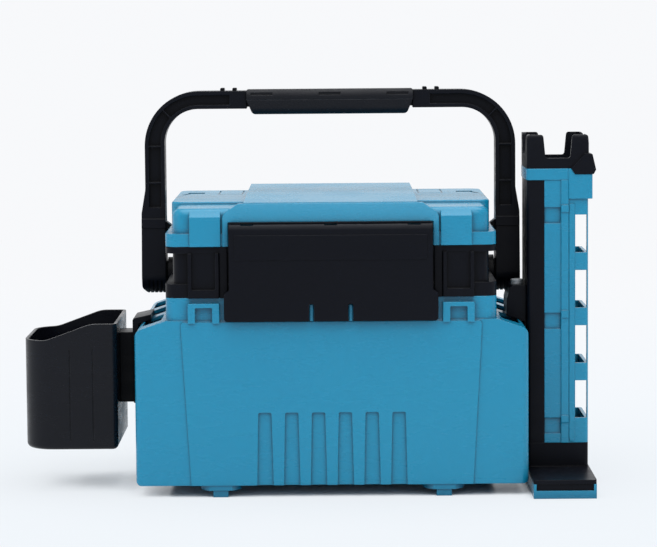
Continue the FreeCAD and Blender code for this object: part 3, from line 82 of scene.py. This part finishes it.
# The GAP_ values place a dark strip that paints the shadow in the gap above the latch
GAP_END = 0.0050
GAP_FRONT, GAP_BACK = -0.1042, -0.1000
GAP_BOTTOM, GAP_TOP = 0.21855, 0.21980
STRIP_INSET = 0.0110
STRIP_WIDTH = 0.0046
STRIP_BACK = 0.0018
STRIP_FOOT, STRIP_HEAD = 0.004, 0.019
STRIP_TIP = 0.003
CAP_RADIUS = 0.0051
CAP_THICKNESS = 0.0016

# The studio's sweep, in metres
SWEEP_FRONT, SWEEP_BEND = -3.0, 2.6
SWEEP_RADIUS = 1.2
SWEEP_TOP = 4.0
SWEEP_HALF_WIDTH = 4.0
SWEEP_STEPS = 12


# ---------------------------------------------------------------- materials

def new_group(name, inputs, outputs):
    """A node group with named sockets: inputs are (name, kind, default), outputs (name, kind)."""
    group = bpy.data.node_groups.new(name, "ShaderNodeTree")
    for label, kind, default in inputs:
        socket = group.interface.new_socket(name=label, in_out="INPUT", socket_type=kind)
        socket.default_value = default
    for label, kind in outputs:
        group.interface.new_socket(name=label, in_out="OUTPUT", socket_type=kind)
    return group, group.nodes.new("NodeGroupInput"), group.nodes.new("NodeGroupOutput")


def math_node(nodes, links, kind, a, b=None, clamp=False):
    """One step of arithmetic on two sockets or numbers."""
    node = nodes.new("ShaderNodeMath")
    node.operation = kind
    node.use_clamp = clamp
    for slot, value in enumerate((a, b)):
        if value is None:
            continue
        if isinstance(value, (int, float)):
            node.inputs[slot].default_value = value
        else:
            links.new(value, node.inputs[slot])
    return node.outputs[0]


def noise(nodes, links, vector, scale, detail, rough):
    """Noise of a stated scale, which may be a socket or a number."""
    node = nodes.new("ShaderNodeTexNoise")
    node.inputs["Detail"].default_value = detail
    node.inputs["Roughness"].default_value = rough
    links.new(vector, node.inputs["Vector"])
    if isinstance(scale, (int, float)):
        node.inputs["Scale"].default_value = scale
    else:
        links.new(scale, node.inputs["Scale"])
    return node.outputs["Fac"]


def ramp(nodes, links, value, low, high, out_low=0.0, out_high=1.0):
    """A smooth change from out_low to out_high as the value goes from low to high."""
    node = nodes.new("ShaderNodeMapRange")
    node.interpolation_type = "SMOOTHSTEP"
    node.inputs["From Min"].default_value = low
    node.inputs["From Max"].default_value = high
    node.inputs["To Min"].default_value = out_low
    node.inputs["To Max"].default_value = out_high
    links.new(value, node.inputs["Value"])
    return node.outputs["Result"]


def grain_group():
    """Fine spark-eroded mould grain, with the slow waviness of a large moulding below it."""
    group, start, end = new_group(
        "moulded_grain",
        [("Vector", "NodeSocketVector", (0, 0, 0)), ("Grain Scale", "NodeSocketFloat", 1500.0),
         ("Grain Depth", "NodeSocketFloat", 0.5), ("Wave Depth", "NodeSocketFloat", 0.2)],
        [("Height", "NodeSocketFloat")],
    )
    nodes, links = group.nodes, group.links
    fine = noise(nodes, links, start.outputs["Vector"], start.outputs["Grain Scale"], 3.0, 0.6)
    cells = nodes.new("ShaderNodeTexVoronoi")
    cells.feature = "SMOOTH_F1"
    links.new(start.outputs["Vector"], cells.inputs["Vector"])
    half_scale = math_node(nodes, links, "MULTIPLY", start.outputs["Grain Scale"], 0.6)
    links.new(half_scale, cells.inputs["Scale"])
    grain = math_node(nodes, links, "ADD", fine, cells.outputs["Distance"])
    grain = math_node(nodes, links, "MULTIPLY", grain, start.outputs["Grain Depth"])
    wave = noise(nodes, links, start.outputs["Vector"], 28.0, 1.0, 0.4)
    wave = math_node(nodes, links, "MULTIPLY", wave, start.outputs["Wave Depth"])
    links.new(math_node(nodes, links, "ADD", grain, wave), end.inputs["Height"])
    return group


def edge_group():
    """Where corners have been rubbed and where they catch a painted highlight: a mask that is high along
    broken-up outer edges.
    """
    group, start, end = new_group(
        "edge_wear_and_highlight",
        [("Vector", "NodeSocketVector", (0, 0, 0)), ("Width", "NodeSocketFloat", 0.0012),
         ("Break Up", "NodeSocketFloat", 90.0)],
        [("Mask", "NodeSocketFloat"), ("Normal", "NodeSocketVector")],
    )
    nodes, links = group.nodes, group.links
    rounded = nodes.new("ShaderNodeBevel")
    rounded.samples = 6
    links.new(start.outputs["Width"], rounded.inputs["Radius"])
    facing = nodes.new("ShaderNodeNewGeometry")
    compare = nodes.new("ShaderNodeVectorMath")
    compare.operation = "DOT_PRODUCT"
    links.new(rounded.outputs["Normal"], compare.inputs[0])
    links.new(facing.outputs["Normal"], compare.inputs[1])
    turned = math_node(nodes, links, "SUBTRACT", 1.0, compare.outputs["Value"])
    edge = ramp(nodes, links, turned, 0.01, 0.12)
    patches = noise(nodes, links, start.outputs["Vector"], start.outputs["Break Up"], 4.0, 0.65)
    patches = ramp(nodes, links, patches, 0.40, 0.66)
    links.new(math_node(nodes, links, "MULTIPLY", edge, patches, True), end.inputs["Mask"])
    links.new(rounded.outputs["Normal"], end.inputs["Normal"])
    return group


def dust_group():
    """Dust that settles on faces that look up, and thin smears of handling."""
    group, start, end = new_group(
        "dust_and_smears",
        [("Vector", "NodeSocketVector", (0, 0, 0)), ("Amount", "NodeSocketFloat", 0.3)],
        [("Dust", "NodeSocketFloat"), ("Smears", "NodeSocketFloat")],
    )
    nodes, links = group.nodes, group.links
    facing = nodes.new("ShaderNodeNewGeometry")
    parts = nodes.new("ShaderNodeSeparateXYZ")
    links.new(facing.outputs["Normal"], parts.inputs[0])
    upward = ramp(nodes, links, parts.outputs["Z"], 0.55, 0.98)
    specks = noise(nodes, links, start.outputs["Vector"], 420.0, 5.0, 0.7)
    specks = ramp(nodes, links, specks, 0.50, 0.74)
    clouds = noise(nodes, links, start.outputs["Vector"], 14.0, 3.0, 0.55)
    clouds = ramp(nodes, links, clouds, 0.35, 0.75)
    dust = math_node(nodes, links, "MULTIPLY", upward, math_node(nodes, links, "MULTIPLY", specks, clouds))
    dust = math_node(nodes, links, "MULTIPLY", dust, start.outputs["Amount"])
    links.new(dust, end.inputs["Dust"])
    stretch = nodes.new("ShaderNodeMapping")
    stretch.inputs["Scale"].default_value = (1.0, 1.0, 3.5)
    stretch.inputs["Rotation"].default_value = (0.3, 0.5, 0.2)
    links.new(start.outputs["Vector"], stretch.inputs["Vector"])
    smears = noise(nodes, links, stretch.outputs["Vector"], 24.0, 4.0, 0.6)
    links.new(ramp(nodes, links, smears, 0.30, 0.72), end.inputs["Smears"])
    return group


GRAIN = grain_group()
EDGES = edge_group()
DUSTING = dust_group()


def mix_colours(nodes, first=None, second=None):
    """A colour mix whose fixed ends are set on its own sockets."""
    node = nodes.new("ShaderNodeMix")
    node.data_type = "RGBA"
    if first is not None:
        node.inputs["A"].default_value = first
    if second is not None:
        node.inputs["B"].default_value = second
    return node


def plastic(name, colour, worn_and_lit, deep, rough, grain=0.5, grain_scale=1500.0, wave=0.2, dust=0.25, wear_and_highlight=0.5,
            bump=0.00008, specular=0.2, rounding=0.0010, smear=0.05, painted_shade_depth=0.55):
    """A moulded plastic: slow colour change, rubbed edges with a painted highlight, painted shade in hollows,
    mould grain and handling marks.
    """
    material = bpy.data.materials.new(name)
    material.use_nodes = True
    nodes, links = material.node_tree.nodes, material.node_tree.links
    shader = nodes["Principled BSDF"]
    place = nodes.new("ShaderNodeTexCoord").outputs["Object"]

    def group(tree, **values):
        node = nodes.new("ShaderNodeGroup")
        node.node_tree = tree
        links.new(place, node.inputs["Vector"])
        for label, value in values.items():
            node.inputs[label.replace("_", " ")].default_value = value
        return node

    edges = group(EDGES, Width=rounding)
    dusting = group(DUSTING, Amount=dust)
    surface = group(GRAIN, Grain_Scale=grain_scale, Grain_Depth=grain, Wave_Depth=wave)
    slow = ramp(nodes, links, noise(nodes, links, place, 7.0, 3.0, 0.5), 0.30, 0.70)
    base = mix_colours(nodes, deep, colour)
    links.new(ramp(nodes, links, slow, 0.0, 1.0, 0.72, 1.0), base.inputs["Factor"])
    # Edges turn towards the lighter worn colour: partly real rubbed wear, partly a painted highlight.
    rubbed_and_lit = mix_colours(nodes, second=worn_and_lit)
    links.new(base.outputs["Result"], rubbed_and_lit.inputs["A"])
    links.new(math_node(nodes, links, "MULTIPLY", edges.outputs["Mask"], wear_and_highlight), rubbed_and_lit.inputs["Factor"])
    dusty = mix_colours(nodes, second=DUST)
    links.new(rubbed_and_lit.outputs["Result"], dusty.inputs["A"])
    links.new(dusting.outputs["Dust"], dusty.inputs["Factor"])
    # Painted shade: ambient occlusion darkens the colour in hollows, creases and between parts, towards a
    # darker copy of the deep colour.
    painted_shade_ao = nodes.new("ShaderNodeAmbientOcclusion")
    painted_shade_ao.samples = 12
    painted_shade_ao.inputs["Distance"].default_value = PAINTED_SHADE_REACH
    shade = mix_colours(nodes, [painted_shade_depth * part for part in deep[:3]] + [1.0])
    links.new(dusty.outputs["Result"], shade.inputs["B"])
    links.new(ramp(nodes, links, painted_shade_ao.outputs["AO"], 0.35, 0.98, 0.0, 1.0), shade.inputs["Factor"])
    links.new(shade.outputs["Result"], shader.inputs["Base Color"])
    smears = ramp(nodes, links, dusting.outputs["Smears"], 0.0, 1.0, rough - smear, rough + smear)
    polished = math_node(nodes, links, "MULTIPLY", edges.outputs["Mask"], EDGE_POLISH)
    links.new(math_node(nodes, links, "SUBTRACT", smears, polished, True), shader.inputs["Roughness"])
    relief = nodes.new("ShaderNodeBump")
    relief.inputs["Distance"].default_value = bump
    links.new(surface.outputs["Height"], relief.inputs["Height"])
    links.new(edges.outputs["Normal"], relief.inputs["Normal"])
    links.new(relief.outputs["Normal"], shader.inputs["Normal"])
    shader.inputs["IOR"].default_value = 1.5
    shader.inputs["Specular IOR Level"].default_value = specular
    return material


def metal(name, colour, rough):
    """Plated steel with drawn or turned lines and small dull spots."""
    material = bpy.data.materials.new(name)
    material.use_nodes = True
    nodes, links = material.node_tree.nodes, material.node_tree.links
    shader = nodes["Principled BSDF"]
    shader.inputs["Metallic"].default_value = 1.0
    place = nodes.new("ShaderNodeTexCoord").outputs["Object"]
    stretch = nodes.new("ShaderNodeMapping")
    stretch.inputs["Scale"].default_value = (0.08, 1.0, 1.0)
    links.new(place, stretch.inputs["Vector"])
    lines = noise(nodes, links, stretch.outputs["Vector"], 3200.0, 2.0, 0.5)
    spots = ramp(nodes, links, noise(nodes, links, place, 260.0, 4.0, 0.6), 0.50, 0.72)
    tint = mix_colours(nodes, colour, tuple(channel * 0.6 for channel in colour[:3]) + (1.0,))
    links.new(spots, tint.inputs["Factor"])
    links.new(tint.outputs["Result"], shader.inputs["Base Color"])
    links.new(ramp(nodes, links, spots, 0.0, 1.0, rough, rough + 0.25), shader.inputs["Roughness"])
    relief = nodes.new("ShaderNodeBump")
    relief.inputs["Distance"].default_value = 0.00002
    links.new(lines, relief.inputs["Height"])
    links.new(relief.outputs["Normal"], shader.inputs["Normal"])
    return material


MATERIALS = {
    "blue_plastic": plastic("blue_moulded_plastic", BLUE, BLUE_WORN_AND_LIT, BLUE_DEEP, 0.27, wear_and_highlight=0.35,
                            dust=0.03, wave=0.06, specular=0.42, smear=0.02),
    "black_plastic": plastic("black_moulded_plastic", BLACK, BLACK_WORN, BLACK_DEEP, 0.36, wear_and_highlight=0.4,
                             dust=0.10, specular=0.10),
    "black_gloss": plastic("black_satin_plastic", BLACK, BLACK_WORN, BLACK_DEEP, 0.30, grain=0.3, wear_and_highlight=0.4,
                           dust=0.10),
    "grip_black": plastic("black_grip_plastic", BLACK, BLACK_WORN, BLACK_DEEP, 0.55, grain=0.9,
                          grain_scale=1100.0, dust=0.10, bump=0.00012),
    "tray_plastic": plastic("grey_tray_plastic", GREY_PLASTIC, GREY_WORN, BLACK_WORN, 0.40, dust=0.2),
    "steel": metal("plated_steel", STEEL, 0.26),
    "screw_steel": metal("zinc_screw_steel", STEEL, 0.34),
    "grey_screw": plastic("pale_grey_screw", PALE_GREY, DUST, GREY_WORN, 0.35, dust=0.1),
    "rubber": plastic("black_rubber", RUBBER, BLACK_WORN, BLACK_DEEP, 0.72, grain=0.8, grain_scale=900.0,
                      dust=0.3, wear_and_highlight=0.2),
}


# ---------------------------------------------------------------- CAD nodes

def finish_solid(name, slot):
    """The solid keeps its mesh. Modifiers join its triangles and keep its real edges crisp."""
    solid = frame["nodes"][name]
    solid.data.materials.clear()
    solid.data.materials.append(MATERIALS[slot])
    solid.modifiers.new("joined", "WELD").merge_threshold = WELD_DISTANCE
    crisp = solid.modifiers.new("crisp edges", "EDGE_SPLIT")
    crisp.split_angle = math.radians(CRISP_ANGLE)
    for face in solid.data.polygons:
        face.use_smooth = True


SLOT_OF = {part["node"]: part["material_slot"] for part in frame["record"]["subparts"]}

for name in frame["nodes"]:
    finish_solid(name, SLOT_OF[name])


# ---------------------------------------------------------------- added pieces

def start_slab(name, low, high):
    """A slab between two corners, ready to be shaped in edit mode."""
    bpy.ops.object.select_all(action="DESELECT")
    middle = [(a + b) / 2 for a, b in zip(low, high)]
    bpy.ops.mesh.primitive_cube_add(size=1.0, location=middle)
    slab = bpy.context.object
    slab.name = name
    slab.scale = [b - a for a, b in zip(low, high)]
    bpy.ops.object.transform_apply(location=True, rotation=True, scale=True)
    return slab


def pick_faces(piece, wanted):
    """Selects, in edit mode, the faces whose middle and normal pass a test."""
    bpy.ops.object.mode_set(mode="EDIT")
    bpy.ops.mesh.select_mode(type="FACE")
    bpy.ops.mesh.select_all(action="DESELECT")
    bpy.ops.object.mode_set(mode="OBJECT")
    for face in piece.data.polygons:
        face.select = wanted(face.center, face.normal)
    bpy.ops.object.mode_set(mode="EDIT")


def finish_piece(piece, slot, body, width, segments=3):
    """Rounds the piece's edges, smooths it and fixes it to the body that carries it."""
    bpy.ops.object.mode_set(mode="OBJECT")
    rounded = piece.modifiers.new("rounded edges", "BEVEL")
    rounded.width = width
    rounded.segments = segments
    rounded.limit_method = "ANGLE"
    rounded.angle_limit = math.radians(30)
    bpy.ops.object.modifier_apply(modifier=rounded.name)
    bpy.ops.object.shade_smooth_by_angle(angle=math.radians(35))
    piece.data.materials.append(MATERIALS[slot])
    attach(piece, body)


def latch_face_panel():
    """The slightly raised upper field of the latch, framed by a shallow step."""
    low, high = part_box("latch_plate")
    panel = start_slab(
        "latch_face_panel",
        (low[0] + PANEL_SIDE, low[1] - 0.00045, high[2] - PANEL_BOTTOM),
        (high[0] - PANEL_SIDE, low[1] + 0.0006, high[2] - PANEL_TOP),
    )
    pick_faces(panel, lambda middle, normal: normal.y < -0.9)
    bpy.ops.mesh.inset(thickness=0.0012, depth=0.0)
    bpy.ops.mesh.inset(thickness=0.0006, depth=-0.00012)
    finish_piece(panel, "black_plastic", "latch", 0.0003)


def stand_face_strip():
    """The upright field beside the stand's windows, with a narrower lower end."""
    low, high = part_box("rod_shell")
    right = high[0] - STRIP_INSET
    left = right - STRIP_WIDTH
    front = low[1] + STRIP_BACK
    strip = start_slab(
        "stand_face_strip",
        (left, front - 0.0006, low[2] + STRIP_FOOT),
        (right, front + 0.0004, high[2] - STRIP_HEAD),
    )
    pick_faces(strip, lambda middle, normal: normal.z < -0.9)
    bpy.ops.mesh.extrude_region_move(TRANSFORM_OT_translate={"value": (0.0, 0.0, -STRIP_TIP)})
    bpy.ops.transform.resize(value=(0.7, 1.0, 1.0))
    pick_faces(strip, lambda middle, normal: normal.y < -0.9)
    bpy.ops.mesh.inset(thickness=0.0009, depth=-0.0001)
    finish_piece(strip, "blue_plastic", "rod_stand", 0.0002, 2)


def bracket_screw_cap():
    """The pale screw's domed head, with a sunk middle."""
    low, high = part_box("rod_bracket_screw")
    middle = ((low[0] + high[0]) / 2, (low[1] + high[1]) / 2, high[2])
    bpy.ops.object.select_all(action="DESELECT")
    bpy.ops.mesh.primitive_cylinder_add(vertices=40, radius=CAP_RADIUS, depth=CAP_THICKNESS, location=middle)
    cap = bpy.context.object
    cap.name = "bracket_screw_cap"
    bpy.ops.object.transform_apply(location=True, rotation=True, scale=True)
    pick_faces(cap, lambda centre, normal: normal.z > 0.9)
    bpy.ops.mesh.inset(thickness=0.0012, depth=0.0004)
    bpy.ops.mesh.inset(thickness=0.0012, depth=0.0002)
    bpy.ops.mesh.inset(thickness=0.0007, depth=-0.0007)
    finish_piece(cap, "grey_screw", "box", 0.0002, 2)


def latch_gap_shadow_strip():
    """A dark strip of black plastic on the lid, in the narrow gap above the latch: a painted shadow standing
    in for the gap's shade.
    """
    low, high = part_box("latch_plate")
    strip = start_slab(
        "latch_gap_shadow_strip",
        (low[0] + GAP_END, GAP_FRONT, GAP_BOTTOM),
        (high[0] - GAP_END, GAP_BACK, GAP_TOP),
    )
    pick_faces(strip, lambda middle, normal: normal.y < -0.9)
    bpy.ops.mesh.inset(thickness=0.0003, depth=-0.0001)
    finish_piece(strip, "black_plastic", "lid", 0.00015, 2)


latch_face_panel()
latch_gap_shadow_strip()
stand_face_strip()
bracket_screw_cap()


# ---------------------------------------------------------------- studio

def studio_sweep():
    """A pale floor that runs back and curves up into a bright backdrop."""
    profile = [(SWEEP_FRONT, 0.0), (SWEEP_BEND, 0.0)]
    for step in range(1, SWEEP_STEPS + 1):
        angle = math.radians(90 * step / SWEEP_STEPS)
        profile.append(
            (SWEEP_BEND + SWEEP_RADIUS * math.sin(angle), SWEEP_RADIUS - SWEEP_RADIUS * math.cos(angle))
        )
    profile.append((SWEEP_BEND + SWEEP_RADIUS, SWEEP_TOP))
    mesh = bpy.data.meshes.new("studio_sweep")
    corners = [(x, y, z) for y, z in profile for x in (-SWEEP_HALF_WIDTH, SWEEP_HALF_WIDTH)]
    faces = [(2 * i, 2 * i + 1, 2 * i + 3, 2 * i + 2) for i in range(len(profile) - 1)]
    mesh.from_pydata(corners, [], faces)
    sweep = bpy.data.objects.new("studio_sweep", mesh)
    scene.collection.objects.link(sweep)
    for face in mesh.polygons:
        face.use_smooth = True
    material = bpy.data.materials.new("studio_paper")
    material.use_nodes = True
    nodes, links = material.node_tree.nodes, material.node_tree.links
    shader = nodes["Principled BSDF"]
    shader.inputs["Roughness"].default_value = 0.9
    shader.inputs["Specular IOR Level"].default_value = 0.1
    place = nodes.new("ShaderNodeTexCoord")
    parts = nodes.new("ShaderNodeSeparateXYZ")
    links.new(place.outputs["Object"], parts.inputs[0])
    # Painted light: the sweep's colour goes from the darker near tone to the brighter far tone
    depth = ramp(nodes, links, parts.outputs["Y"], -0.35, 1.8)
    painted_light_tone = mix_colours(nodes, FLOOR_NEAR, FLOOR_FAR)
    links.new(depth, painted_light_tone.inputs["Factor"])
    links.new(painted_light_tone.outputs["Result"], shader.inputs["Base Color"])
    glow = nodes.new("ShaderNodeEmission")
    links.new(painted_light_tone.outputs["Result"], glow.inputs["Color"])
    glow.inputs["Strength"].default_value = 1.0
    mixed = nodes.new("ShaderNodeMixShader")
    rays = nodes.new("ShaderNodeLightPath")
    seen = math_node(nodes, links, "MAXIMUM", rays.outputs["Is Camera Ray"], rays.outputs["Is Glossy Ray"])
    seen = math_node(nodes, links, "MAXIMUM", seen, rays.outputs["Is Transmission Ray"])
    far = ramp(nodes, links, parts.outputs["Y"], 0.25, 2.4, 0.85, 1.0)
    hidden = nodes.new("ShaderNodeAmbientOcclusion")
    hidden.inputs["Distance"].default_value = 0.06
    open_floor = ramp(nodes, links, hidden.outputs["AO"], 0.10, 0.55)
    far = math_node(nodes, links, "MULTIPLY", far, open_floor)
    links.new(math_node(nodes, links, "MULTIPLY", seen, far), mixed.inputs[0])
    links.new(shader.outputs[0], mixed.inputs[1])
    links.new(glow.outputs[0], mixed.inputs[2])
    links.new(mixed.outputs[0], nodes["Material Output"].inputs["Surface"])
    mesh.materials.append(material)


def soft_light(name, place, target, width, height, power, colour):
    """A rectangular soft box at a place, turned to a target."""
    data = bpy.data.lights.new(name, "AREA")
    data.shape = "RECTANGLE"
    data.size = width
    data.size_y = height
    data.energy = power
    data.color = colour
    lamp = bpy.data.objects.new(name, data)
    scene.collection.objects.link(lamp)
    lamp.location = place
    lamp.rotation_euler = (Vector(target) - Vector(place)).to_track_quat("-Z", "Y").to_euler()


studio_sweep()
soft_light("overhead", (0.1, -0.1, 2.3), (0.0, 0.0, 0.1), 2.6, 2.2, 46.0, (1.0, 1.0, 1.0))
soft_light("front_fill", (0.5, -2.3, 1.35), (0.0, 0.0, 0.2), 1.5, 0.9, 4.5, (1.0, 0.99, 0.98))
soft_light("high_front", (0.0, -1.7, 1.75), (0.0, -0.1, 0.22), 2.4, 0.45, 9.5, (1.0, 1.0, 1.0))
soft_light("left_fill", (-2.2, -0.6, 0.9), (0.0, 0.0, 0.2), 1.4, 1.4, 5.0, (0.97, 0.98, 1.0))

world = bpy.data.worlds.new("studio_air")
scene.world = world
world.use_nodes = True
air = world.node_tree.nodes["Background"]
air.inputs["Color"].default_value = AIR
air.inputs["Strength"].default_value = AIR_STRENGTH

camera_data = bpy.data.cameras.new("camera")
camera_data.lens = CAMERA_LENS
camera_data.sensor_width = 36.0
camera = bpy.data.objects.new("camera", camera_data)
scene.collection.objects.link(camera)
camera.location = CAMERA_PLACE
camera.rotation_mode = "XYZ"
camera.rotation_euler = (
    math.radians(90 - CAMERA_PITCH), math.radians(CAMERA_ROLL), math.radians(CAMERA_YAW)
)
scene.camera = camera
scene.view_settings.view_transform = "Standard"
